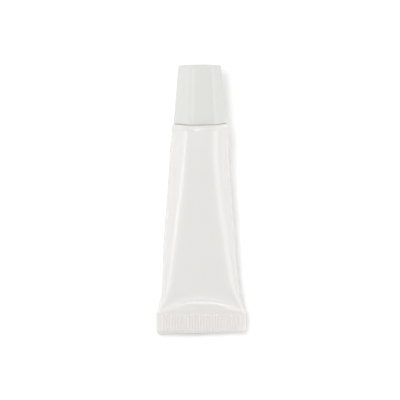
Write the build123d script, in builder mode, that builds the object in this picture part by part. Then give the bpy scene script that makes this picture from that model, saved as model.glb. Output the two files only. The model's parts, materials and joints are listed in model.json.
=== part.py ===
from build123d import *
from math import atan, cos, dist, pi, radians, sin, tan
import os

# A small squeeze tube of lip balm with a screw cap, lying on its belly. Millimetres.
# The floor is Z = 0. The tube's axis points along +Y, with the cap end raised by a few degrees.
os.makedirs("parts", exist_ok=True)

# Sleeve: an extruded plastic tube, round at the shoulder, pressed flat and welded at the tail
sleeve_radius = 8.0
sleeve_wall = 0.45
sleeve_length = 57.4
crimp_thickness = 0.9
crimp_length = 5.3
jaw_spread = 0.28
tail_corner_radius = 0.9

# Ribs that the sealing jaws press into both faces of the crimp
rib_length = 4.4
rib_pitch = 0.8
rib_width = 0.62
rib_height = 0.16
rib_tail_margin = 0.6
rib_side_margin = 1.6

# How the sleeve flattens, as shares of its way from the round lap to the crimp
section_count = 16
outside_sides = 64
core_sides = 40
balm_sides = 24
belly_drop_share = 0.62
belly_power = 1.32
heel_start_share = 0.8
heel_power = 0.8
heel_height = 0.6
heel_angle = 34.0
round_fullness_share = 0.5523
flat_fullness_share = 1.0
fullness_power = 15
core_end_share = 0.985
balm_end_share = 0.955

# Head: the shoulder and neck, moulded in one piece and welded into the sleeve
shoulder_rim = 1.4
shoulder_edge_radius = 1.0
shoulder_edge_facets = 4
shoulder_thickness = 1.1
lap_length = 2.2
lap_thickness = 0.9
weld_gap = 0.1
neck_radius = 4.0
neck_length = 8.0
neck_wall = 1.1
neck_chamfer = 0.35
nozzle_thickness = 1.2
orifice_radius = 1.3

# Cap: a six-sided, tapered moulding with a round bore for the neck's thread
cap_sides = 6
cap_height = 16.05
cap_base_flats = 13.3
cap_top_flats = 11.05
cap_corner_radius = 0.9
cap_top_radius = 0.75
cap_top_facets = 5
cap_base_chamfer = 0.25
cap_turn = 6.0
cap_gap = 0.15
thread_gap = 0.75
bore_chamfer = 0.4
crown_core_radius = 3.3
crown_wall = 1.3
web_thickness = 0.7
web_count = 4
seat_gap = 0.15
pin_gap = 0.2
pin_depth = 1.0
pin_chamfer = 0.3

# Balm: the soft fill, a little clear of the walls round it
balm_gap = 0.2

# How it lies: the place of its belly that touches the floor, as a share like those above, and how
# far the soft wall is pressed flat there
contact_share = 0.33
belly_flat = 0.15

# One overrun for every cut
overrun = 1.0

flat_length = sleeve_length - crimp_length
squeeze_length = flat_length - lap_length
lap_depth = shoulder_rim + lap_length
crimp_depth = shoulder_rim + flat_length
tail_depth = shoulder_rim + sleeve_length
half_crimp = crimp_thickness / 2
quarter_girth = pi * sleeve_radius / 2


def half_height(share):
    """Half the sleeve's height at a share of its way from the round lap to the crimp."""
    belly = 1 - belly_drop_share * share**belly_power
    heel = max(0, (share - heel_start_share) / (1 - heel_start_share))
    return heel_height + (sleeve_radius - heel_height) * belly * (1 - heel**2) ** heel_power


def fullness(share):
    """How square a section is: round at the shoulder, a flat strip at the crimp."""
    gain = flat_fullness_share - round_fullness_share
    return round_fullness_share + gain * share**fullness_power


def quarter_points(width, height, full, sides):
    """Points on the quarter curve of a section, from (width, 0) to (0, height)."""
    points = []
    for step in range(sides + 1):
        t = step / sides
        u = 1 - t
        x = width * (u**3 + 3 * u * u * t + 3 * u * t * t * full)
        y = height * (3 * u * u * t * full + 3 * u * t * t + t**3)
        points.append((x, y))
    return points


def quarter_length(width, height, full):
    """Length of that quarter curve."""
    points = quarter_points(width, height, full, outside_sides)
    return sum(dist(start, end) for start, end in zip(points, points[1:]))


def half_width(share):
    """Half the sleeve's width: a squeezed tube keeps its girth, so it widens as it flattens.

    The hot jaws spread the flat end a little wider still.
    """
    low, high = 0, quarter_girth
    for _ in range(40):
        middle = (low + high) / 2
        if quarter_length(middle, half_height(share), fullness(share)) > quarter_girth:
            high = middle
        else:
            low = middle
    return low + jaw_spread * share**fullness_power


# The axis is tilted so that the belly is level where it touches the floor
share_step = 0.001
belly_fall = half_height(contact_share) - half_height(contact_share + share_step)
tilt = atan(belly_fall / (share_step * squeeze_length))
contact_depth = lap_depth + contact_share * squeeze_length
belly_reach = contact_depth * sin(tilt) + half_height(contact_share) * cos(tilt)
axis_height = belly_reach - belly_flat

cap_top = cap_gap + cap_height
cap_reach = cap_top * cos(tilt) + (cap_top_flats / 2 - cap_top_radius) * sin(tilt)
tail_reach = tail_depth * cos(tilt) + half_crimp * sin(tilt)

# Local axes: Z along the tube from the shoulder's face towards the cap, Y up, X to the left
tube = Plane(
    origin=(0, (tail_reach - cap_reach) / 2, axis_height),
    x_dir=(-1, 0, 0),
    z_dir=(0, cos(tilt), sin(tilt)),
)
tube_axis = Axis(tube.origin, tube.z_dir)
# Side view: X towards the cap, Y up. Plan view: X to the left, Y towards the tail
side = Plane(origin=tube.origin, x_dir=tube.z_dir, z_dir=-tube.x_dir)
plan = Plane(origin=tube.origin, x_dir=tube.x_dir, z_dir=tube.y_dir)


def across(depth):
    """The plane across the tube at a depth below the shoulder's face."""
    return tube.offset(-depth)


def section_face(share, inset, sides):
    """The sleeve's section at a share of its way, shrunk by an inset: a quarter curve, mirrored.

    It has many short sides, so the form lofted through such sections is one of long narrow strips.
    """
    width = half_width(share) - inset
    height = half_height(share) - inset
    with BuildSketch(across(lap_depth + share * squeeze_length)) as section:
        with BuildLine():
            Polyline(quarter_points(width, height, fullness(share), sides // 4))
            mirror(about=Plane.YZ)
            mirror(about=Plane.XZ)
        make_face()
    return section.sketch


def squeezed_form(inset, sides, end_share, round_length=0, strip_length=0):
    """The form from the round lap to a share of the way to the crimp, shrunk by an inset.

    A round stretch leads into it, and a strip carries its last section on, where given. The belly
    is flat where it lies.
    """
    shares = [end_share * step / (section_count - 1) for step in range(section_count)]
    sections = [section_face(share, inset, sides) for share in shares]
    rise = sleeve_radius
    run = rise / tan(radians(heel_angle))
    foot = half_crimp - inset / cos(radians(heel_angle))
    with BuildPart() as form:
        loft(sections)
        if round_length:
            extrude(sections[0], amount=round_length)
        if strip_length:
            extrude(sections[-1], amount=-strip_length)
        # Steep heels, above and below, fall from the plump body to the flat crimp
        with BuildSketch(side):
            with BuildLine():
                Polyline(
                    (-tail_depth - overrun, foot),
                    (-crimp_depth, foot),
                    (run - crimp_depth, foot + rise),
                    (-tail_depth - overrun, foot + rise),
                    close=True,
                )
            make_face()
            mirror(about=Plane.XZ)
        extrude(amount=2 * quarter_girth, both=True, mode=Mode.SUBTRACT)
        split(bisect_by=Plane.XY.offset(inset))
    return form.part


sleeve_outside = squeezed_form(0, outside_sides, 1, lap_length, crimp_length)
sleeve_core = squeezed_form(sleeve_wall, core_sides, core_end_share, lap_length + overrun)
balm_body = squeezed_form(sleeve_wall + balm_gap, balm_sides, balm_end_share)

with BuildPart() as sleeve:
    add(sleeve_outside)
    strip_width = half_width(1)
    rib_count = 1 + int(2 * (strip_width - rib_side_margin) / rib_pitch)
    with BuildSketch(across(tail_depth - rib_tail_margin)):
        with GridLocations(rib_pitch, rib_pitch, rib_count, 1):
            Rectangle(rib_width, crimp_thickness + 2 * rib_height)
        chamfer(vertices(), rib_height)
    extrude(amount=rib_length)
    # Both corners of the tail are rounded in plan
    with BuildSketch(plan):
        with Locations((strip_width - tail_corner_radius, tail_depth - tail_corner_radius)):
            Rectangle(
                tail_corner_radius + overrun,
                tail_corner_radius + overrun,
                align=(Align.MIN, Align.MIN),
            )
            Circle(tail_corner_radius, mode=Mode.SUBTRACT)
        mirror(about=Plane.YZ)
    extrude(amount=sleeve_radius, both=True, mode=Mode.SUBTRACT)
    # The inside is the same form, a wall's thickness smaller all round
    add(sleeve_core, mode=Mode.SUBTRACT)
sleeve.part.label = "sleeve"
export_step(sleeve.part, "parts/sleeve.step")

lap_outside = sleeve_radius - sleeve_wall - weld_gap
lap_inside = lap_outside - lap_thickness
neck_bore = neck_radius - neck_wall
nozzle_start = neck_length - nozzle_thickness

with BuildPart() as head:
    with BuildSketch(side):
        with BuildLine():
            rim = Line((-shoulder_rim, sleeve_radius), (-shoulder_edge_radius, sleeve_radius))
            edge = JernArc(rim @ 1, rim % 1, shoulder_edge_radius, -90, mode=Mode.PRIVATE)
            facets = range(shoulder_edge_facets + 1)
            Polyline([edge @ (facet / shoulder_edge_facets) for facet in facets])
            Polyline(
                edge @ 1,
                (0, neck_radius),
                (neck_length - neck_chamfer, neck_radius),
                (neck_length, neck_radius - neck_chamfer),
                (neck_length, orifice_radius),
                (nozzle_start, orifice_radius),
                (nozzle_start, neck_bore),
                (-shoulder_thickness, neck_bore),
                (-shoulder_thickness, lap_inside),
                (-lap_depth, lap_inside),
                (-lap_depth, lap_outside),
                (-shoulder_rim, lap_outside),
                rim @ 0,
            )
        make_face()
    revolve(axis=tube_axis)
head.part.label = "head"
export_step(head.part, "parts/head.step")

bore_radius = neck_radius + thread_gap
seat = neck_length + seat_gap
crown_top = cap_top - crown_wall
crown_middle = cap_top - crown_wall / 2
pin_radius = orifice_radius - pin_gap
pin_end = seat - pin_depth

# The cap's levels: how far each is set in from its tapered sides, and how high it is
cap_levels = [
    (cap_base_flats / 2, cap_base_chamfer, cap_gap),
    (cap_base_flats / 2, 0, cap_gap + cap_base_chamfer),
]
for facet in range(cap_top_facets + 1):
    turn = pi / 2 * facet / cap_top_facets
    inset = cap_top_radius * (1 - cos(turn))
    cap_levels.append((cap_top_flats / 2, inset, cap_top - cap_top_radius * (1 - sin(turn))))

with BuildPart() as cap:
    for half_flats, inset, height in cap_levels:
        with BuildSketch(tube.offset(height)):
            RegularPolygon(
                radius=half_flats - inset,
                side_count=cap_sides,
                major_radius=False,
                rotation=cap_turn,
            )
            fillet(vertices(), cap_corner_radius - inset)
    loft(ruled=True)
    # The bore for the thread, a land that seats on the neck's rim, and the cored crown
    with BuildSketch(side):
        with BuildLine():
            Polyline(
                (cap_gap, 0),
                (cap_gap, bore_radius + bore_chamfer),
                (cap_gap + bore_chamfer, bore_radius),
                (seat, bore_radius),
                (seat, crown_core_radius),
                (crown_top, crown_core_radius),
                (crown_top, 0),
                close=True,
            )
        make_face()
    revolve(axis=tube_axis, mode=Mode.SUBTRACT)
    # The pin that stops the orifice, held in the crown by radial webs
    with BuildSketch(side):
        with BuildLine():
            Polyline(
                (pin_end, 0),
                (pin_end, pin_radius - pin_chamfer),
                (pin_end + pin_chamfer, pin_radius),
                (crown_middle, pin_radius),
                (crown_middle, 0),
                close=True,
            )
        make_face()
    revolve(axis=tube_axis)
    with BuildSketch(tube.offset(seat)):
        with PolarLocations(0, web_count):
            Rectangle(
                crown_core_radius + crown_wall / 2, web_thickness, align=(Align.MIN, Align.CENTER)
            )
    extrude(amount=crown_middle - seat)
cap.part.label = "cap"
export_step(cap.part, "parts/cap.step")

balm_lap = lap_inside - balm_gap
balm_shoulder = shoulder_thickness + balm_gap
balm_neck = neck_bore - balm_gap
balm_nozzle = nozzle_start - balm_gap
balm_orifice = orifice_radius - balm_gap
balm_top = pin_end - balm_gap

with BuildPart() as balm:
    add(balm_body)
    with BuildSketch(side):
        with BuildLine():
            Polyline(
                (-lap_depth - overrun, 0),
                (-lap_depth - overrun, balm_lap),
                (-balm_shoulder, balm_lap),
                (-balm_shoulder, balm_neck),
                (balm_nozzle, balm_neck),
                (balm_nozzle, balm_orifice),
                (balm_top, balm_orifice),
                (balm_top, 0),
                close=True,
            )
        make_face()
    revolve(axis=tube_axis)
balm.part.label = "balm"
export_step(balm.part, "parts/balm.step")
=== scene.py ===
# %% [markdown]
# A lip balm tube in Blender.
# The real thing is a small white squeeze tube: a plastic sleeve with a ribbed flat tail, a moulded
# shoulder with a threaded neck, a six-sided screw cap, and the balm inside. The measured solids of the
# tube come in first and stay as they are. They give the sizes, the moving cap, and the place of the
# tube, which lies on its belly with its cap end a little raised. Everything that the eye sees is then
# built over them at a finer grain.

# %% Load the measured tube
import bmesh
import bpy
import json
import math
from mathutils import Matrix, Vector


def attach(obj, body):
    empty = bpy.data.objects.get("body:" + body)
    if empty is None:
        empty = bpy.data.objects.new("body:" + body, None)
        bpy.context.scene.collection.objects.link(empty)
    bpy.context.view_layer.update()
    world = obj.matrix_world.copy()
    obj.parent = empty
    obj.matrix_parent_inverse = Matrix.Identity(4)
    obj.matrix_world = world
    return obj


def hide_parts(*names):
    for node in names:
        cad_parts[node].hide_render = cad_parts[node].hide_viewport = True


mm_per_metre = 1000
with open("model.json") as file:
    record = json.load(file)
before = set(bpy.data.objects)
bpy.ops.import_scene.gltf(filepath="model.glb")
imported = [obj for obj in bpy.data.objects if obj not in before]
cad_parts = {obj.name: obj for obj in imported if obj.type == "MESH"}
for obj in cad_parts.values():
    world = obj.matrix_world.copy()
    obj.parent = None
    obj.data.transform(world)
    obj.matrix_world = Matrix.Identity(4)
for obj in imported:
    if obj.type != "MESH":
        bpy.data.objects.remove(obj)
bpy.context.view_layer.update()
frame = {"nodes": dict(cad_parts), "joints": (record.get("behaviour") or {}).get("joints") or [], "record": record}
print("pieces of the solid tube:", sorted(frame["nodes"]))

# %% [markdown]
# The tube has its own directions: along its axis towards the cap, up out of its front, and across.
# They are read from the solids' record: the line the cap lifts along and the middle of the cap's
# flat end. Every point below is given in millimetres in these directions, from the middle of the
# shoulder's face, so the shapes can be thought of as if the tube lay level. Turning each finished
# piece by hand would do the same, but then no piece could be measured where it lies.

# %% The tube's own directions
along = Vector(frame["joints"][0]["axis"]).normalized()
upward = Vector((0, -along.z, along.y))
cap_end_forward = 16.2
cap_end = Vector(frame["record"]["mounts"][0]["pos_m"])
shoulder_middle = cap_end - along * cap_end_forward / mm_per_metre


def at(across, up, forward):
    """A place on the tube, in millimetres, as a place in the scene, in metres."""
    return shoulder_middle + (Vector((across, 0, 0)) + upward * up + along * forward) / mm_per_metre


print("tilt of the tube:", round(math.degrees(math.asin(along.z)), 2), "degrees")

# %% [markdown]
# A skin is made of rings of points, one behind the other, joined by four-sided faces. A squeezed
# tube, a neck and a cap can all be drawn like that. A cylinder with modifiers would be quicker to
# start with, but each ring of a squeezed tube has its own width and height, and this way each one is
# worked out from its place. The ends are closed with flat faces, or joined to one another where the
# piece is a closed loop in section, so that every piece encloses its plastic as a real one does.

# %% Rings to a skin
def skin(name, rings, joined=False):
    """A mesh object from rings of equal count, with flat end faces or its last ring joined to its first."""
    mesh = bpy.data.meshes.new(name)
    work = bmesh.new()
    rows = [[work.verts.new(point) for point in ring] for ring in rings]
    count = len(rows[0])
    for row, following in zip(rows, rows[1:] + rows[:1] if joined else rows[1:]):
        for i in range(count):
            j = (i + 1) % count
            work.faces.new((row[i], row[j], following[j], following[i]))
    if not joined:
        work.faces.new(list(reversed(rows[0])))
        work.faces.new(rows[-1])
    bmesh.ops.recalc_face_normals(work, faces=work.faces)
    for face in work.faces:
        face.smooth = True
    work.to_mesh(mesh)
    work.free()
    piece = bpy.data.objects.new(name, mesh)
    bpy.context.scene.collection.objects.link(piece)
    print(name, "has", len(mesh.polygons), "faces")
    return piece


# %% [markdown]
# The sleeve starts as a round plastic tube. Its tail is pressed flat between hot jaws, and the rest
# follows: a long back that falls slowly, and a steep heel above the flat crimp. It could be sculpted,
# or squeezed with a lattice. A formula is used instead, because it gives the height of every ring from
# one number: its share of the way from the round end to the crimp. A depth is counted from the
# shoulder's face towards the tail.

# %% How low the sleeve is pressed
sleeve_radius = 8.0
lap_depth = 3.6
squeeze_length = 49.9
crimp_length = 5.3
crimp_depth = lap_depth + squeeze_length
tail_depth = crimp_depth + crimp_length
back_fall, back_bend = 0.62, 1.32
heel_height = 0.6
heel_start, heel_bend = 0.8, 0.8


def half_height(share):
    """Half the height at a share of the way from the round end to the crimp."""
    back = 1 - back_fall * share**back_bend
    heel = max(0, (share - heel_start) / (1 - heel_start))
    return heel_height + (sleeve_radius - heel_height) * back * (1 - heel**2) ** heel_bend


print("half heights at five places:", [round(half_height(step / 4), 2) for step in range(5)])

# %% [markdown]
# A section of the sleeve is round at one end and a flat strip at the other. A quarter of it is drawn
# as one Bezier curve from the side to the top, and its two handles reach further as the tube
# flattens, which makes the corner squarer. An ellipse would be simpler, but a pressed tube has flatter
# faces and tighter sides than an ellipse.

# %% A quarter of a section
circle_pull = 0.5523
square_bend = 8


def corner_pull(share):
    """How far the Bezier handles reach: 0.5523 draws a circle and 1 a square corner."""
    return circle_pull + (1 - circle_pull) * share**square_bend


def quarter_curve(width, height, pull, steps):
    """Points from the side of a section to its top."""
    points = []
    for step in range(steps + 1):
        t = step / steps
        u = 1 - t
        points.append((
            width * (u**3 + 3 * u * u * t + 3 * u * t * t * pull),
            height * (3 * u * u * t * pull + 3 * u * t * t + t**3),
        ))
    return points


print("handles' reach at the round end and halfway:", corner_pull(0), round(corner_pull(0.5), 3))

# %% [markdown]
# Plastic bends but doesn't stretch, so the tube keeps its girth: where it gets lower it gets wider.
# The width could be drawn by eye from the picture. It is found here instead, by trying widths until
# the quarter curve is as long as a quarter of the round tube, and then the sides of the tube have the
# outline of a real squeezed one. Only the hot jaws spread the very end a little more.

# %% How wide the sleeve gets
quarter_girth = math.pi * sleeve_radius / 2
jaw_spread, jaw_bend = 0.28, 15


def curve_length(points):
    """The length of a line of points."""
    return sum(math.dist(a, b) for a, b in zip(points, points[1:]))


def half_width(share):
    """The width that keeps the girth, found by halving an interval 30 times."""
    low, high = 0, quarter_girth
    for _ in range(30):
        middle = (low + high) / 2
        curve = quarter_curve(middle, half_height(share), corner_pull(share), 64)
        if curve_length(curve) > quarter_girth:
            high = middle
        else:
            low = middle
    return low + jaw_spread * share**jaw_bend


print("half width at the round end and the tail:", round(half_width(0), 2), round(half_width(1), 2))

# %% [markdown]
# The points of a Bezier curve crowd where it bends. The sleeve's faces should be nearly square, and
# the crimp needs its points at even steps to carry ribs, so the points are set out again at equal
# distances along the curve. Subdividing the mesh would smooth it too, but it would blur the ribs.

# %% Points at even steps
def even_points(points, count):
    """The same curve with its points at equal distances."""
    whole = curve_length(points)
    spaced, walked, index = [], 0.0, 0
    for step in range(count + 1):
        want = whole * step / count
        while index < len(points) - 2 and walked + math.dist(points[index], points[index + 1]) < want:
            walked += math.dist(points[index], points[index + 1])
            index += 1
        part = (want - walked) / max(1e-9, math.dist(points[index], points[index + 1]))
        part = min(1.0, max(0.0, part))
        spaced.append(tuple(a + (b - a) * part for a, b in zip(points[index], points[index + 1])))
    return spaced


thirds = even_points(quarter_curve(1, 1, circle_pull, 64), 3)
print("a quarter circle in three steps:", [(round(x, 2), round(y, 2)) for x, y in thirds])

# %% [markdown]
# The jaws leave a slope of 34 degrees above the crimp. Where it meets the sleeve's falling back there
# is a crest that catches the light. A boolean cut would leave a sharp edge there. Here the lower of
# the two heights wins at every point, with a rounding where they cross: wide at the soft crest and
# narrow at the foot of the slope, which the jaws press crisp.

# %% The crest above the crimp
columns = 96
crimp_thickness = 0.9
half_crimp = crimp_thickness / 2
heel_slope = math.tan(math.radians(34))
wall_on_slope = 1.2
crest_rounding, foot_rounding = 0.45, 0.1
crest_end, foot_start = crimp_depth - 2.0, crimp_depth - 0.5


def smooth_step(low, high, value):
    """Rises from 0 to 1 between two values, level at both ends."""
    t = min(1.0, max(0.0, (value - low) / (high - low)))
    return t * t * (3 - 2 * t)


def lower_of(a, b, rounding):
    """The lower of two heights, with a rounded corner where they cross."""
    mix = min(1.0, max(0.0, 0.5 + (b - a) / (2 * rounding)))
    return b + (a - b) * mix - rounding * mix * (1 - mix)


def quarter_section(depth, inset):
    """A quarter of the sleeve's section at a depth, from its side to its top."""
    share = min(1.0, max(0.0, (depth - lap_depth) / squeeze_length))
    width = half_width(share) - inset
    height = half_height(share) - inset
    slope = half_crimp - inset * wall_on_slope + max(0.0, crimp_depth - depth) * heel_slope
    to_foot = smooth_step(crest_end, foot_start, depth)
    rounding = crest_rounding + (foot_rounding - crest_rounding) * to_foot
    points = even_points(quarter_curve(width, height, corner_pull(share), 160), columns)
    return [(x, lower_of(y, slope, rounding)) for x, y in points]


print("top of the section at the crest and at the crimp:",
      [round(quarter_section(depth, 0)[-1][1], 2) for depth in (crest_end, crimp_depth)])

# %% [markdown]
# The other three quarters of a section are mirror images of the first. A mirror modifier could make
# them, but the small faults of this tube come later and aren't the same on both sides.

# %% All the way round
def whole_section(quarter):
    """The quarter and its three mirror images, all the way round."""
    top = quarter[:-1]
    left = [(-x, y) for x, y in reversed(quarter[1:])]
    bottom = [(-x, -y) for x, y in quarter[:-1]]
    right = [(x, -y) for x, y in reversed(quarter[1:])]
    return top + left + bottom + right


print("points round the sleeve:", len(whole_section(quarter_section(10, 0))))

# %% [markdown]
# The hot jaws press 28 narrow ribs into both faces of the crimp. They run along the tube and stop
# short of the tail. They could be a bump in the material, but then they would be missing from the
# outline and from the mesh. So each rib is a smooth hump that is added to the height, with
# a groove between the humps that lies a little deeper than the face beside them.

# %% Ribs of the crimp
rib_count = 28
rib_pitch = 0.8
rib_height = 0.2
rib_length = 4.58
groove_depth = 0.03
groove_share, top_share = 0.1, 0.75
tail_margin = 0.42
ribs_end = tail_depth - tail_margin
ribs_start = ribs_end - rib_length
rise_length = 0.12
fall_before, fall_after = 0.2, 0.1
half_ribbed = rib_count * rib_pitch / 2
side_blur = 0.05


def rib(x, depth):
    """The height that the pressed ribs add at a place on the crimp."""
    ends = smooth_step(ribs_start, ribs_start + rise_length, depth)
    ends *= 1 - smooth_step(ribs_end - fall_before, ribs_end + fall_after, depth)
    sides = 1 - smooth_step(half_ribbed - side_blur, half_ribbed + side_blur, abs(x))
    wave = 0.5 + 0.5 * math.cos(2 * math.pi * (x / rib_pitch - 0.5))
    return ends * sides * (rib_height * smooth_step(groove_share, top_share, wave) - groove_depth)


print("height of a rib and of a groove:", round(rib(rib_pitch / 2, 56), 2), round(rib(0, 56), 2))

# %% [markdown]
# A knife cuts the tail off square, and its two corners are rounded so that they don't scratch. A
# bevel would need edges to hold on to. As the skin is made of rings, the last rings are simply drawn
# in at their sides along an arc, and the last tenth of a millimetre slants in where the knife went.

# %% The cut tail
corner_radius = 0.9
corner_reach = 2.0
strip_width = half_width(1)
cut_length = 0.1
cut_slant = 0.5


def tail_corner(x, depth):
    """Draws the outer millimetres of the last rings in, so that the tail's corners are round."""
    short = corner_radius - (tail_depth - depth)
    if short <= 0 or abs(x) < strip_width - corner_reach:
        return x
    drawn = corner_radius - math.sqrt(max(0.0, corner_radius**2 - short**2))
    part = (abs(x) - (strip_width - corner_reach)) / corner_reach
    return math.copysign(abs(x) - drawn * part, x)


def cut_edge(depth):
    """How much of the crimp's thickness is left where the cut edge slants in."""
    return 1 - cut_slant * max(0.0, depth - (tail_depth - cut_length)) / cut_length


print("half width of the cut:", round(tail_corner(strip_width, tail_depth), 2))

# %% [markdown]
# At the other end the shoulder's rounded edge runs over the seam and on to the sleeve's first 0.4 mm,
# because the two are welded while hot. The edge is a quarter of an ellipse, 1 mm wide and 1.8 mm
# long. Each piece could have its own fillet, but then the edge would have a step at the seam. So one
# function gives it, and both pieces use it.

# %% The rounded edge of the shoulder
edge_width, edge_length = 1.0, 1.8


def edge_inset(depth):
    """How far the rounded edge draws the outside in, on the head and the sleeve."""
    into = max(0.0, 1 - depth / edge_length)
    return edge_width * (1 - math.sqrt(1 - into**2))


print("inset at depths of 0, 0.5 and 1.4 mm:", [round(edge_inset(depth), 3) for depth in (0, 0.5, 1.4)])

# %% [markdown]
# A real tube isn't perfect. This one leans a third of a millimetre to the left between its ends, as
# a soft tube does, and its tail was cut about one degree askew. Noise could make faults like these,
# but a soft tube has a few long ones and not many short ones, so each is one smooth function.

# %% The faults of this one tube
lean = 0.36
lean_start, lean_full, lean_back, lean_end = 2.2, 10, 34, 52
askew_slope = 0.016
askew_start = 54


def sway(depth):
    """How far the soft sleeve leans to the left of its axis, between the shoulder and the crimp."""
    return -lean * smooth_step(lean_start, lean_full, depth) * (1 - smooth_step(lean_back, lean_end, depth))


def askew(x, depth):
    """How much deeper a place lies because the knife cut the tail a little askew."""
    return -askew_slope * x * smooth_step(askew_start, tail_depth, depth)


print("sway halfway:", round(sway(25), 2), "askew at the corner:", round(askew(strip_width, tail_depth), 2))

# %% [markdown]
# All of these together give one ring of the outside. The tube lies on its soft belly, which is pressed
# flat where it touches the table. No simulation is needed for so small a dent: a point that would
# lie below the table is lifted on to it, a hundredth of a millimetre clear.

# %% One ring of the outside
table_clearance = 0.00001


def outer_ring(depth):
    """One ring of the sleeve's outside, ribs and all, as places in the scene."""
    ring = []
    drawn_in = 1 - edge_inset(depth) / sleeve_radius
    for x, y in whole_section(quarter_section(depth, 0)):
        y = (y + math.copysign(rib(x, depth), y)) * cut_edge(depth) * drawn_in
        x = tail_corner(x, depth) * drawn_in + sway(depth)
        place = at(x, y, -depth - askew(x, depth))
        place.z = max(place.z, table_clearance)
        ring.append(place)
    return ring


lowest = min(place.z for place in outer_ring(20))
print("lowest point of a ring at the belly, in mm:", round(lowest * mm_per_metre, 3))

# %% [markdown]
# The rings lie close together where the shape turns fast, at the shoulder's edge, the crest, the foot
# of the slope and the ends of the ribs, and far apart along the plain back. Even steps all the way
# would need many more faces for the same look.

# %% Depths of the rings
round_end = 1.4
edge_end, back_end, slope_end = 2.6, 41.6, 53.0


def steps_to(start, end, count):
    """Even steps from one depth to another, without the first."""
    return [start + (end - start) * step / count for step in range(1, count + 1)]


depths = [round_end + 0.02, round_end + 0.05] + steps_to(round_end, edge_end, 12) + [lap_depth]
depths += steps_to(lap_depth, back_end, 38)
depths += steps_to(back_end, slope_end, 52)
depths += [crimp_depth + step for step in (-0.3, -0.1, -0.01, 0.01, 0.1, 0.28, 0.32, 0.36, 0.4, 0.45)]
depths += steps_to(54.0, 58.5, 29)
depths += [tail_depth - step for step in (0.2, 0.11, cut_length, 0.09, 0.02, 0)]
sleeve_rings = [outer_ring(depth) for depth in depths]
print("rings along the sleeve:", len(depths))

# %% [markdown]
# The wall has a thickness, which shows at the mouth and holds the balm. A solidify modifier could
# give it, but the wall would then fold over itself in the narrow crimp. So the skin turns over a
# tiny rounded lip at the round end and runs back inside, as far as the two faces are apart. There
# it ends in a flat face, because the jaws weld the sleeve shut, and the cut tail ends in another.

# %% The sleeve's mouth and inside
sleeve_wall = 0.45
mouth_inset = edge_inset(round_end)
lip = 0.012


def plain_ring(depth, inset):
    """A ring of the sleeve's own form, drawn in by a distance."""
    return [at(x + sway(depth), y, -depth) for x, y in whole_section(quarter_section(depth, inset))]


mouth = [
    plain_ring(round_end + 0.005, mouth_inset + lip / 2),
    plain_ring(round_end, mouth_inset + lip),
    plain_ring(round_end, sleeve_wall),
]
inside_depths = (lap_depth, 8, 14, 20, 26, 32, 38, 42, 45, 47, 49, 50.5, 51.5)
inside = [plain_ring(depth, sleeve_wall) for depth in inside_depths]
sleeve = skin("squeezed_sleeve", list(reversed(inside)) + list(reversed(mouth)) + sleeve_rings)
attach(sleeve, "tube")
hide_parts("sleeve")

# %% [markdown]
# The head is one round moulding: the shoulder with its rounded edge, a low collar, the neck and its
# rim. A round piece is drawn once, as a half profile of points (radius, place along the tube), and
# swung round. Its corners are first cut back to small arcs, because moulded plastic has no sharp
# corners and the small arcs are what catches the light. A bevel modifier would do it as well, but
# this way the arcs can't run into one another on the short sides.

# %% A round piece
most_of_side = 0.45


def rounded(profile, radius, steps=5):
    """The profile with each inner corner cut back to a small arc."""
    drawn = [profile[0]]
    for before, corner, after in zip(profile, profile[1:], profile[2:]):
        reach = min(radius, most_of_side * math.dist(before, corner), most_of_side * math.dist(corner, after))
        start = [c + (b - c) * reach / math.dist(before, corner) for b, c in zip(before, corner)]
        end = [c + (a - c) * reach / math.dist(corner, after) for a, c in zip(after, corner)]
        for step in range(steps + 1):
            t = step / steps
            drawn.append(tuple(
                (1 - t) ** 2 * s + 2 * t * (1 - t) * c + t * t * e for s, c, e in zip(start, corner, end)
            ))
    return drawn + [profile[-1]]


def turned_rings(profile, count=128):
    """Rings round the tube's axis, one for each point of the profile."""
    turns = [2 * math.pi * i / count for i in range(count)]
    rings = []
    for radius, forward in profile:
        rings.append([at(radius * math.cos(turn), radius * math.sin(turn), forward) for turn in turns])
    return rings


print("points of a square corner, rounded:", len(rounded([(0, 0), (1, 0), (1, 1)], 0.2)))

# %% [markdown]
# The outside of the head starts in the sleeve, where its lap is welded to the wall. It comes out at
# the seam and follows the same ellipse as the sleeve's first rings up to the flat face. The points
# are set at even angles of the ellipse, so they are closest where it bends most.

# %% The shoulder's profile
lap_outside = 7.45
shoulder_profile = [
    (lap_outside, -lap_depth),
    (lap_outside, -round_end),
    (sleeve_radius - mouth_inset - lip, -round_end),
]
edge_depths = [round_end - 0.01, round_end - 0.025, round_end - 0.06]
edge_depths += [edge_length * (1 - math.sin(math.radians(angle))) for angle in range(18, 91, 4)]
for depth in edge_depths:
    shoulder_profile.append((sleeve_radius - edge_inset(depth), -depth))
print("points on the shoulder's profile:", len(shoulder_profile))

# %% [markdown]
# The neck stands on a low cone and ends in a rim round the orifice, which the pin of the cap stops.
# The profile then turns back inside: a short nozzle, the bore of the neck, the underside of the
# shoulder and the inside of the lap. Its last ring joins its first, so the head is a closed shell.

# %% The neck, and the whole head
neck_radius, neck_length = 4.0, 8.0
neck_bore = 2.9
cone_radius, cone_height = 4.6, 0.32
rim_chamfer = 0.35
orifice_radius, orifice_length = 1.3, 1.2
shoulder_thickness = 1.1
lap_inside = 6.55
face_radius = 6.9
moulded_corner = 0.18
neck_profile = rounded([
    (face_radius, 0.0),
    (cone_radius, 0.0),
    (neck_radius, cone_height),
    (neck_radius, neck_length - rim_chamfer),
    (neck_radius - rim_chamfer, neck_length),
    (orifice_radius, neck_length),
    (orifice_radius, neck_length - orifice_length),
    (neck_bore, neck_length - orifice_length),
    (neck_bore, -shoulder_thickness),
    (lap_inside, -shoulder_thickness),
    (lap_inside, -lap_depth),
], moulded_corner)
head = skin("shoulder_and_neck", turned_rings(shoulder_profile + neck_profile[1:]), joined=True)
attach(head, "tube")
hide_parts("head")

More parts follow.
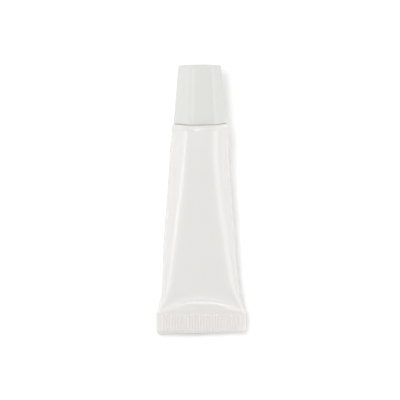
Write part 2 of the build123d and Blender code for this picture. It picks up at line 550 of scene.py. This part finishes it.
# %% [markdown]
# A thread is a low ridge that winds up. A screw modifier could draw it, but its ends would stop with
# a blunt face, and a moulded thread runs out to nothing. So the ridge is a row of small six-point
# sections along the helix, each a little higher than the one before it until the full height is
# reached. Its foot is sunk in the wall, so that no gap shows.

# %% A ridge that winds up
thread_pitch = 2.4
half_foot, half_crest = 0.46, 0.2
sunk = 0.12
run_out = 14


def ridge(name, root, tip, start, turns, steps=72):
    """A helical ridge between two radii, with its ends run out."""
    count = int(turns * steps)
    inner = root - math.copysign(sunk, tip - root)
    half_sunk = half_foot + 0.02
    rings = []
    for i in range(count + 1):
        turn = 2 * math.pi * i / steps
        fade = smooth_step(0, run_out, i) * (1 - smooth_step(count - run_out, count, i))
        crest = root + (tip - root) * (0.02 + 0.98 * fade)
        forward = start + thread_pitch * i / steps
        lower = [(inner, -half_sunk), (root, -half_foot), (crest, -half_crest)]
        upper = [(crest, half_crest), (root, half_foot), (inner, half_sunk)]
        ring = []
        for radius, shift in lower + upper:
            ring.append(at(radius * math.cos(turn), radius * math.sin(turn), forward + shift))
        rings.append(ring)
    return skin(name, rings)


print("pitch of the thread:", thread_pitch)

# %% [markdown]
# One ridge winds round the neck and rides with the tube. The other winds inside the cap and rides
# with the cap. It lies half a pitch further on, so the two interlock without touching, as they do
# when a cap is screwed home.

# %% Threads of the neck and the cap
bore_radius = 4.75
neck_ridge, cap_ridge = 0.42, 0.39
neck_turns, cap_turns = 1.75, 1.6
neck_start = 1.9
cap_start = neck_start + thread_pitch / 2
neck_thread = ridge("neck_thread", neck_radius, neck_radius + neck_ridge, neck_start, neck_turns)
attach(neck_thread, "tube")
cap_thread = ridge("cap_thread", bore_radius, bore_radius - cap_ridge, cap_start, cap_turns)
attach(cap_thread, "screw_cap")

# %% [markdown]
# The cap is a tapered moulding with six flat sides, which give the fingers their grip, and rounded
# corners. A six-sided cylinder with a bevel would be near to it, but the corners keep one radius
# while the sides get narrower to the top, and the bore inside is round. So a ring is drawn as six
# arcs, one at each corner, with a few points along the flats between them.

# %% Six-sided rings
cap_turn = math.radians(7.5)
cap_corner = 2.0
corner_steps = 8
side_steps = 8


def arc_point(centre, angle, radius):
    """A point on a small circle round a centre."""
    return (centre[0] + radius * math.cos(angle), centre[1] + radius * math.sin(angle))


def six_sided(half_flats, corner, forward):
    """A ring of six flat sides and six round corners."""
    ring = []
    reach = (half_flats - corner) / math.cos(math.pi / 6)
    for side in range(6):
        middle = cap_turn + side * math.pi / 3
        centre = arc_point((0, 0), middle, reach)
        for step in range(corner_steps + 1):
            ring.append(arc_point(centre, middle - math.pi / 6 + math.pi / 3 * step / corner_steps, corner))
        start = ring[-1]
        following = middle + math.pi / 3
        end = arc_point(arc_point((0, 0), following, reach), following - math.pi / 6, corner)
        for step in range(1, side_steps):
            ring.append(tuple(a + (b - a) * step / side_steps for a, b in zip(start, end)))
    return [at(-x, y, forward) for x, y in ring]


print("points in a six-sided ring:", len(six_sided(6, cap_corner, 0)))

# %% [markdown]
# The outside of the cap has three parts: a base edge that is broken by a tenth of a millimetre, the
# long taper, and the rounded edge of the flat end. Each level below is one ring: its half width
# across the flats, its corner radius and its place. The taper alone would do with two rings, but
# the shading is smoother with eight between them.

# %% Outside of the cap
cap_gap = 0.06
base_flats, end_flats = 6.65, 5.525
base_edge = ((0.1, 0), (0.05, 0.02), (0.01, 0.08), (0, 0.2))
base_height = 0.2
end_radius = 0.5
taper_length = cap_end_forward - end_radius - cap_gap - base_height
levels = []
for inset, rise in base_edge:
    levels.append((base_flats - inset, cap_corner - inset, cap_gap + rise))
for step in range(1, 9):
    part = step / 9
    half_flats = base_flats + (end_flats - base_flats) * part
    levels.append((half_flats, cap_corner, cap_gap + base_height + taper_length * part))
for step in range(9):
    angle = math.pi / 2 * step / 8
    inset = end_radius * (1 - math.cos(angle))
    forward = cap_end_forward - end_radius * (1 - math.sin(angle))
    levels.append((end_flats - inset, cap_corner - inset, forward))
cap_rings = [six_sided(*level) for level in levels]
print("levels of the cap's outside:", len(levels))

# %% [markdown]
# Inside, the cap has a round bore with a lead-in at its mouth, a land that comes down on the neck's
# rim, and a cored crown with the pin that stops the orifice. The rings of the inside are round, but they
# have the same number of points as the six-sided ones, at the same angles, so the skin can go from
# one to the other over the narrow base. That needs no boolean and leaves no odd faces.

# %% Bore, crown and pin of the cap
land = 8.15
crown_radius = 3.3
crown_top = cap_end_forward - 1.3
lead_in = 0.4
pin_radius, pin_tip, pin_chamfer = 1.1, 7.15, 0.3
inner_corner = 0.15


def round_like(radius, forward):
    """A circle with the same points as a six-sided ring, at the same angles."""
    flat = six_sided(6, cap_corner, forward)
    middle = at(0, 0, forward)
    return [middle + (point - middle).normalized() * radius / mm_per_metre for point in flat]


bore = [
    (bore_radius + lead_in, cap_gap),
    (bore_radius, cap_gap + lead_in),
    (bore_radius, land),
    (crown_radius, land),
    (crown_radius, crown_top),
]
pin = [
    (pin_radius, crown_top),
    (pin_radius, pin_tip + pin_chamfer),
    (pin_radius - pin_chamfer, pin_tip),
    (0.3, pin_tip),
]
inner_rings = [round_like(radius, forward) for radius, forward in rounded(bore + pin, inner_corner, 3)]
cap = skin("screw_cap_moulding", list(reversed(cap_rings)) + inner_rings)
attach(cap, "screw_cap")
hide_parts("cap")

# %% [markdown]
# Four thin webs hold the pin in the cored crown. A solid crown would be thick, and thick plastic sinks
# as it cools, so moulders core it out and leave webs. Each one is a plain wall, kept sharp at its
# edges, and both of its ends are sunk in the plastic that it joins.

# %% Webs of the crown
web_thickness = 0.7
web_start, web_end = 1.0, 3.5
web_top = crown_top + 0.2


def web(name, turn):
    """A thin radial wall from the pin to the crown's side."""
    half = web_thickness / 2
    rings = []
    for radius in (web_start, web_end):
        ring = []
        for side, forward in ((-half, land), (half, land), (half, web_top), (-half, web_top)):
            x = radius * math.cos(turn) - side * math.sin(turn)
            y = radius * math.sin(turn) + side * math.cos(turn)
            ring.append(at(-x, y, forward))
        rings.append(ring)
    piece = skin(name, rings)
    piece.data.set_sharp_from_angle(angle=math.radians(30))
    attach(piece, "screw_cap")
    return piece


webs = [web("crown_web_%d" % i, math.pi / 2 * i) for i in range(4)]

# %% [markdown]
# The balm fills the tube. It is only seen in the orifice when the cap is off, as a small disc of soft
# wax, and a disc would do for that. It is made whole all the same, so that the tube holds
# what a real one holds. Its form is the sleeve's own, drawn in by the wall and a little air.

# %% Balm
balm_clearance = 0.2
balm_inset = sleeve_wall + balm_clearance
fill_depths = (50, 48, 45, 41, 36, 30, 24, 18, 12, 8, 5)
balm_rings = [plain_ring(depth, balm_inset) for depth in fill_depths]
shoulder_fill = [(6.2, -3.7), (6.3, -1.4)]
neck_fill = [(2.7, -1.3), (2.7, 6.55)]
orifice_fill = [(1.1, 6.62), (1.08, 6.85), (0.8, 6.93), (0.3, 6.95)]
for radius, forward in shoulder_fill + neck_fill + orifice_fill:
    circle = whole_section(even_points(quarter_curve(radius, radius, circle_pull, 64), columns))
    balm_rings.append([at(x, y, forward) for x, y in circle])
balm = skin("balm_fill", balm_rings)
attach(balm, "tube")
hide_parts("balm")

# %% [markdown]
# The sleeve, head and cap are white plastics of the waxy kind: some light goes in and comes out again
# a millimetre further on. Blender calls that subsurface scattering, and its scale is in metres. The
# red part goes furthest, so thin edges look a little warmer. A plain white paint would look dead.

# %% The body of a plastic
def waxy_plastic(name):
    """A new material that lets a little light in, with a node that tells where on the piece it is."""
    material = bpy.data.materials.new(name)
    material.use_nodes = True
    shader = material.node_tree.nodes["Principled BSDF"]
    shader.inputs["IOR"].default_value = 1.5
    shader.inputs["Subsurface Weight"].default_value = 0.3
    shader.inputs["Subsurface Radius"].default_value = (1.0, 0.9, 0.75)
    shader.inputs["Subsurface Scale"].default_value = 0.0012
    where = material.node_tree.nodes.new("ShaderNodeTexCoord")
    where.name = "where"
    print("new plastic:", name)
    return material


# %% [markdown]
# Moulded plastic is never quite even. Its colour drifts by a few percent and its gloss by a little
# more, from how the melt flowed. One soft noise drives both here, since both come from the flow. An
# image could hold such marks, but noise fits any size of piece and has no seam. The roughness changes
# by only 0.03 either way, because larger steps would look like smears.

# %% Cloudy colour and gloss
cloud_scale = 90
darkest_share = 0.97
gloss_drift = 0.03


def noise(material, scale, detail):
    """A noise that is fixed to the piece."""
    nodes, links = material.node_tree.nodes, material.node_tree.links
    made = nodes.new("ShaderNodeTexNoise")
    made.inputs["Scale"].default_value = scale
    made.inputs["Detail"].default_value = detail
    links.new(nodes["where"].outputs["Object"], made.inputs["Vector"])
    return made


def cloudy(material, colour, roughness):
    """Lets colour and gloss drift a little from place to place."""
    nodes, links = material.node_tree.nodes, material.node_tree.links
    shader = nodes["Principled BSDF"]
    cloud = noise(material, cloud_scale, 3)
    tint = nodes.new("ShaderNodeValToRGB")
    tint.name = "tint"
    tint.color_ramp.elements[0].position = 0.0
    tint.color_ramp.elements[0].color = tuple(c * darkest_share for c in colour) + (1,)
    tint.color_ramp.elements[1].position = 1.0
    tint.color_ramp.elements[1].color = tuple(colour) + (1,)
    links.new(cloud.outputs["Fac"], tint.inputs["Fac"])
    links.new(tint.outputs["Color"], shader.inputs["Base Color"])
    gloss = nodes.new("ShaderNodeMapRange")
    gloss.name = "gloss"
    gloss.inputs["To Min"].default_value = roughness - gloss_drift
    gloss.inputs["To Max"].default_value = roughness + gloss_drift
    links.new(cloud.outputs["Fac"], gloss.inputs["Value"])
    links.new(gloss.outputs["Result"], shader.inputs["Roughness"])
    print(material.name, "has colour", colour, "and roughness", roughness)


# %% [markdown]
# Close to, the skin of such a plastic has a fine orange peel, a few thousandths of a millimetre deep.
# Real bumps of that size would take millions of faces, so a bump node makes them: it turns the
# reflections a little and leaves the mesh alone. That is enough, as nothing of it shows in the outline.

# %% A fine skin, and a whole plastic
peel_strength = 0.35


def relief(material, name, height, strength, depth):
    """A bump node that turns a noise into a fine relief."""
    nodes, links = material.node_tree.nodes, material.node_tree.links
    bump = nodes.new("ShaderNodeBump")
    bump.name = name
    bump.inputs["Strength"].default_value = strength
    bump.inputs["Distance"].default_value = depth
    links.new(height.outputs["Fac"], bump.inputs["Height"])
    links.new(bump.outputs["Normal"], nodes["Principled BSDF"].inputs["Normal"])
    return bump


def plastic(name, colour, roughness, grain, grain_depth):
    """A plastic with a soft colour change, uneven gloss and a fine bumpy skin."""
    material = waxy_plastic(name)
    cloudy(material, colour, roughness)
    relief(material, "peel", noise(material, grain, 4), peel_strength, grain_depth)
    return material


sleeve_white = (0.81, 0.786, 0.762)
cap_white = (0.714, 0.715, 0.695)
sleeve_plastic = plastic("soft_white_sleeve", sleeve_white, 0.24, 1400, 0.000006)
head_plastic = plastic("moulded_white_head", sleeve_white, 0.24, 1200, 0.000006)
cap_plastic = plastic("moulded_white_cap", cap_white, 0.315, 1600, 0.000005)

# %% [markdown]
# The sleeve is drawn through a die, which leaves faint lines along it. The same kind of noise makes
# them, stretched fifty times along the tube. The lines lie on top of the orange peel, so their bump
# node takes the tilt of the first one and adds its own.

# %% Die lines on the sleeve
line_scale = 900
line_stretch = (1, 0.02, 1)
line_strength, line_depth = 0.25, 0.000008
nodes, links = sleeve_plastic.node_tree.nodes, sleeve_plastic.node_tree.links
lines = noise(sleeve_plastic, line_scale, 2)
stretch = nodes.new("ShaderNodeMapping")
stretch.inputs["Scale"].default_value = line_stretch
links.new(nodes["where"].outputs["Object"], stretch.inputs["Vector"])
links.new(stretch.outputs["Vector"], lines.inputs["Vector"])
groove = relief(sleeve_plastic, "groove", lines, line_strength, line_depth)
links.new(nodes["peel"].outputs["Normal"], groove.inputs["Normal"])
print("nodes of the sleeve's plastic:", len(nodes))

# %% [markdown]
# The hot jaws leave the tail end smoother than the drawn tube above it. So the sleeve gets glossier
# on the last centimetre of its back, and the crest and the ribs catch narrow lights. The flat end
# of the cap is the other way round: the mould is duller there, so it shows less of the bright room.
# Separate materials could do this, but they would meet in a hard line.

# %% Gloss that changes along the tube
def change_gloss(material, start, end, factor):
    """Multiplies a material's roughness by a factor that is reached between two places forward."""
    nodes, links = material.node_tree.nodes, material.node_tree.links
    place = nodes.new("ShaderNodeSeparateXYZ")
    links.new(nodes["where"].outputs["Object"], place.inputs["Vector"])
    along_tube = nodes.new("ShaderNodeMapRange")
    along_tube.inputs["From Min"].default_value = at(0, 0, start).y
    along_tube.inputs["From Max"].default_value = at(0, 0, end).y
    along_tube.inputs["To Min"].default_value = 1.0
    along_tube.inputs["To Max"].default_value = factor
    links.new(place.outputs["Y"], along_tube.inputs["Value"])
    changed = nodes.new("ShaderNodeMath")
    changed.operation = "MULTIPLY"
    links.new(nodes["gloss"].outputs["Result"], changed.inputs[0])
    links.new(along_tube.outputs["Result"], changed.inputs[1])
    links.new(changed.outputs["Value"], nodes["Principled BSDF"].inputs["Roughness"])
    print(material.name, "changes its roughness by a factor of", factor)


change_gloss(sleeve_plastic, -45, -48.5, 0.6)
change_gloss(cap_plastic, 15.5, 16.0, 2.0)

# %% [markdown]
# Near the tail's cut edge the colour is darkened: painted shade, standing in for the darker line that the light
# leaves along the edge. The colour is multiplied by a pale grey there, and the change takes half a millimetre.

# %% Painted shade at the cut edge
painted_edge_shade = (0.9, 0.9, 0.92, 1)
grey_start, grey_full = 0.8, 0.3
nodes, links = sleeve_plastic.node_tree.nodes, sleeve_plastic.node_tree.links
place = nodes.new("ShaderNodeSeparateXYZ")
links.new(nodes["where"].outputs["Object"], place.inputs["Vector"])
edge_shade_mask = nodes.new("ShaderNodeMapRange")
edge_shade_mask.inputs["From Min"].default_value = at(0, 0, grey_start - tail_depth).y
edge_shade_mask.inputs["From Max"].default_value = at(0, 0, grey_full - tail_depth).y
links.new(place.outputs["Y"], edge_shade_mask.inputs["Value"])
# Painted shade: the sleeve's colour is multiplied by the pale grey near the cut edge.
grey = nodes.new("ShaderNodeMix")
grey.data_type = "RGBA"
grey.blend_type = "MULTIPLY"
grey.inputs["B"].default_value = painted_edge_shade
links.new(edge_shade_mask.outputs["Result"], grey.inputs["Factor"])
links.new(nodes["tint"].outputs["Color"], grey.inputs["A"])
links.new(grey.outputs["Result"], nodes["Principled BSDF"].inputs["Base Color"])
print("the cut edge gets greyer over", round(grey_start - grey_full, 2), "mm")

# %% [markdown]
# The balm is a pale yellow wax. It lets light much deeper in than the plastics do, and its skin is
# dull with soft lumps, so it starts as another plastic and gets its own values for the scattering.

# %% Balm wax
wax_reach = 0.003
balm_wax = plastic("pale_balm_wax", (0.86, 0.80, 0.62), 0.4, 500, 0.00003)
wax_shader = balm_wax.node_tree.nodes["Principled BSDF"]
wax_shader.inputs["Subsurface Weight"].default_value = 0.6
wax_shader.inputs["Subsurface Scale"].default_value = wax_reach
print("light goes", wax_reach * mm_per_metre, "mm into the wax")

# %% [markdown]
# Each piece gets the plastic it is moulded from, and a thread is of one piece with its neck or cap.
# The measured solids lie hidden under the pieces. They get the same finishes, so that they would look
# right too if one of them were shown.

# %% Which piece has which finish
finishes = {
    "sleeve": (sleeve_plastic, [sleeve]),
    "head": (head_plastic, [head, neck_thread]),
    "cap": (cap_plastic, [cap, cap_thread] + webs),
    "balm": (balm_wax, [balm]),
}
for solid, (finish, pieces) in finishes.items():
    for piece in pieces:
        piece.data.materials.append(finish)
    node = frame["nodes"][solid]
    node.data.materials.clear()
    node.data.materials.append(finish)
    print(finish.name, "is on", [piece.name for piece in pieces])

# %% [markdown]
# The tube lies on a wide white ground, which is one large flat face. It is no part of the tube.

# %% The ground
half_ground = 20.0
corners = [(-half_ground, -half_ground, 0), (half_ground, -half_ground, 0),
           (half_ground, half_ground, 0), (-half_ground, half_ground, 0)]
ground_mesh = bpy.data.meshes.new("ground")
ground_mesh.from_pydata(corners, [], [(0, 1, 2, 3)])
ground = bpy.data.objects.new("ground", ground_mesh)
bpy.context.scene.collection.objects.link(ground)
print("the ground is", 2 * half_ground, "metres wide")

# %% [markdown]
# The picture shows the ground as pure white, with only a soft shadow at the right of the tube and
# under its tail. More light would whiten the ground, but it would bleach the tube too. So the ground
# is plain white paint, which takes the shadow, with a faint even glow added that only the camera,
# mirror-like surfaces and clear ones see. The glow throws no light. It is 0.07 round the tube, just
# enough to bring the open ground to white, and rises to full white further out, where the lamps no
# longer reach.

# %% White ground that keeps the shadow
paint_white = (0.97, 0.97, 0.97, 1)
near_glow, far_glow = 0.07, 1.0
near_distance, far_distance = 0.15, 0.6
ground_paint = bpy.data.materials.new("white_ground")
ground_paint.use_nodes = True
nodes, links = ground_paint.node_tree.nodes, ground_paint.node_tree.links
nodes.clear()
paint = nodes.new("ShaderNodeBsdfDiffuse")
paint.inputs["Color"].default_value = paint_white
glow = nodes.new("ShaderNodeEmission")
glow.inputs["Color"].default_value = (1, 1, 1, 1)
both = nodes.new("ShaderNodeAddShader")
links.new(paint.outputs["BSDF"], both.inputs[0])
links.new(glow.outputs["Emission"], both.inputs[1])
out = nodes.new("ShaderNodeOutputMaterial")
links.new(both.outputs["Shader"], out.inputs["Surface"])
ground_mesh.materials.append(ground_paint)
print("paint and glow are added in", ground_paint.name)

# %% [markdown]
# The strength of the glow is a product: who is looking, times how far from the tube the place is.
# Light Path answers the first question with a 1 for each kind of ray, and the length of the place's
# own position answers the second.

# %% Who sees the glow, and where
def calculate(operation, first, second):
    """A math node on two outputs of the ground's paint; gives its own output."""
    node = nodes.new("ShaderNodeMath")
    node.operation = operation
    links.new(first, node.inputs[0])
    links.new(second, node.inputs[1])
    return node.outputs["Value"]


path = nodes.new("ShaderNodeLightPath")
seen = calculate("ADD", path.outputs["Is Camera Ray"], path.outputs["Is Glossy Ray"])
seen = calculate("ADD", seen, path.outputs["Is Transmission Ray"])
position = nodes.new("ShaderNodeTexCoord")
distance = nodes.new("ShaderNodeVectorMath")
distance.operation = "LENGTH"
links.new(position.outputs["Object"], distance.inputs[0])
fade = nodes.new("ShaderNodeMapRange")
fade.inputs["From Min"].default_value = near_distance
fade.inputs["From Max"].default_value = far_distance
fade.inputs["To Min"].default_value = near_glow
fade.inputs["To Max"].default_value = far_glow
links.new(distance.outputs["Value"], fade.inputs["Value"])
links.new(calculate("MULTIPLY", seen, fade.outputs["Result"]), glow.inputs["Strength"])
print("nodes of the ground:", len(nodes))

# %% [markdown]
# The tube was lit by soft boxes. A lamp does two things to glossy plastic: it brightens all of it, and
# its own shape is mirrored as a pale line or patch. A wide box mostly brightens, and a narrow strip
# mostly draws a line. Each lamp below hangs 1.2 metres from the tube and looks at it. Its lean is the
# angle from overhead, and its turn says from which side: 0 is the right, 90 the cap end, 180 the left
# and 270 the tail.

# %% A soft lamp
lamp_distance = 1.2


def soft_light(name, lean, turn, length, width, power, slide=0.0):
    """A broad lamp that looks at the tube, and can be slid along it."""
    lamp = bpy.data.lights.new(name, "AREA")
    lamp.shape = "RECTANGLE"
    lamp.size = length
    lamp.size_y = width
    lamp.energy = power
    light = bpy.data.objects.new(name, lamp)
    lean, turn = math.radians(lean), math.radians(turn)
    light.location = lamp_distance * Vector((
        math.sin(lean) * math.cos(turn), math.sin(lean) * math.sin(turn), math.cos(lean),
    ))
    light.rotation_euler = (-light.location).to_track_quat("-Z", "Y").to_euler()
    light.location.y += slide
    bpy.context.scene.collection.objects.link(light)
    print(name, "gives", power, "watts")
    return light


# %% [markdown]
# The left side has a narrow strip for the crisp pale line down the sleeve. That line is brightest
# near the shoulder, so a short second strip lies over the end that the shoulder mirrors. A wide box
# behind them keeps the left flank light. The right side has one broad strip, so its line is softer.

# %% Lamps at the sides
soft_light("left_strip", 60, 180, 1.0, 0.06, 1.5, -0.6)
soft_light("left_top_strip", 60, 180, 0.2, 0.06, 0.5, -0.16)
soft_light("left_box", 66, 180, 1.2, 0.8, 2.05)
soft_light("right_strip", 66, 0, 1.2, 0.48, 4.2)

# %% [markdown]
# Two lamps stand beyond the tail. The crest mirrors them: the wide one as a soft band, the narrow
# one as a thin line in it. The box high on the left lights the whole front, and throws the soft
# shadow to the right of the tube and below its tail.

# %% Lamps at the tail and overhead
soft_light("tail_strip", 55, 270, 0.8, 0.16, 0.85)
soft_light("crest_strip", 67, 270, 0.6, 0.04, 0.9)
soft_light("high_left_box", 18, 132, 0.45, 0.45, 5.0)

# %% [markdown]
# Two small lamps are there for one mirror line each. The shoulder's rounded edge shows the first as a
# short dash below the cap, and the right corner of the cap shows the second as a pale upright line.

# %% Lamps at the cap
soft_light("cap_end_lamp", 7, 90, 0.68, 0.17, 1.2)
soft_light("cap_side_lamp", 66, 0, 0.14, 0.16, 0.6, 0.07)

# %% [markdown]
# The room round the table works like a light tent with the camera at its top: it is brightest at the
# level of the table and darker overhead. So the flanks of the glossy sleeve shine a little more than
# its front. A plain grey world would give the front and the flanks the same shine. The tent is drawn
# by direction, with a ramp on the height.

# %% Light tent
tent_steps = ((0.0, 1.0), (0.25, 0.74), (0.5, 0.57), (1.0, 0.3))
tent = bpy.data.worlds.new("light_tent")
bpy.context.scene.world = tent
tent.use_nodes = True
nodes, links = tent.node_tree.nodes, tent.node_tree.links
direction = nodes.new("ShaderNodeTexCoord")
height = nodes.new("ShaderNodeSeparateXYZ")
links.new(direction.outputs["Generated"], height.inputs["Vector"])
brightness = nodes.new("ShaderNodeValToRGB")
while len(brightness.color_ramp.elements) < len(tent_steps):
    brightness.color_ramp.elements.new(0.5)
for element, (position, value) in zip(brightness.color_ramp.elements, tent_steps):
    element.position = position
    element.color = (value, value, value, 1)
links.new(height.outputs["Z"], brightness.inputs["Fac"])
links.new(brightness.outputs["Color"], nodes["Background"].inputs["Color"])
print("the tent has", len(tent_steps), "steps from the table up")

# %% [markdown]
# The tent is also a little brighter towards the cap end of the table, and the rounded shoulder shows
# that. A second node scales the strength by the direction along the table.

# %% A brighter cap end
tail_end_strength, cap_end_strength = 0.765, 0.975
towards_cap = nodes.new("ShaderNodeMapRange")
towards_cap.inputs["From Min"].default_value = -0.1
towards_cap.inputs["From Max"].default_value = 1.0
towards_cap.inputs["To Min"].default_value = tail_end_strength
towards_cap.inputs["To Max"].default_value = cap_end_strength
links.new(height.outputs["Y"], towards_cap.inputs["Value"])
links.new(towards_cap.outputs["Result"], nodes["Background"].inputs["Strength"])
print("strength of the tent, tail end and cap end:", tail_end_strength, cap_end_strength)

# %% [markdown]
# The camera looks straight down from two metres with a long lens, which keeps the sides of the cap
# and sleeve as upright as the picture shows them. A near camera would let the raised cap look larger.
# It is turned by a third of a degree, as the tube is in the picture. The lens follows from the width
# that is to be in view at the height of the tube's middle. The Standard view shows colours as they
# are written.

# %% Camera
view_width = 0.1119
view_distance = 2.0
middle_height = 0.008
picture_middle = (-0.00012, -0.00036)
camera_turn = math.radians(-0.3)
camera_data = bpy.data.cameras.new("camera")
camera_data.sensor_width = 36
camera_data.lens = camera_data.sensor_width * view_distance / view_width
camera_data.clip_end = 10
camera = bpy.data.objects.new("camera", camera_data)
camera.location = (*picture_middle, view_distance + middle_height)
camera.rotation_euler = (0, 0, camera_turn)
bpy.context.scene.collection.objects.link(camera)
bpy.context.scene.camera = camera
bpy.context.scene.view_settings.view_transform = "Standard"
print("lens in mm:", round(camera_data.lens))
